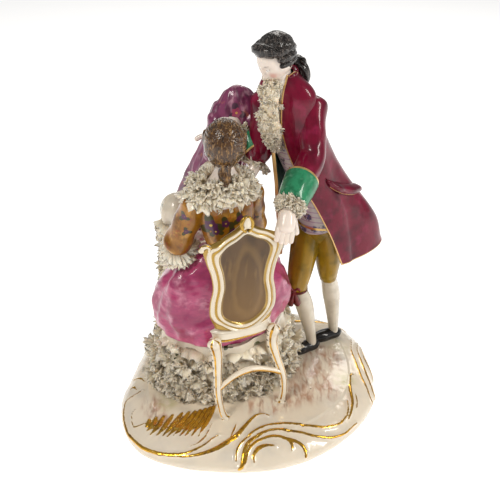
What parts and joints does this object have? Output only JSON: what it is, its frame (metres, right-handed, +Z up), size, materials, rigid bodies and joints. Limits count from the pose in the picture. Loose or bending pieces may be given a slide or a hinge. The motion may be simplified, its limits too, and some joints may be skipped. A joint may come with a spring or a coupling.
{
  "type": "porcelain figural group",
  "caption": "Porcelain crinoline group: a gentleman leans over a seated lady's chair beside a companion, on a gilt-scrolled base.",
  "frame": {"origin": "centre of the base's flat underside", "axes": "+Z up, the side with the chair's back faces -Y"},
  "size_m": [0.1503, 0.1431, 0.2099],
  "materials": {
    "glazed_porcelain": null
  },
  "bodies": {
    "root": {"figural_group": "glazed_porcelain"}
  },
  "joints": []
}
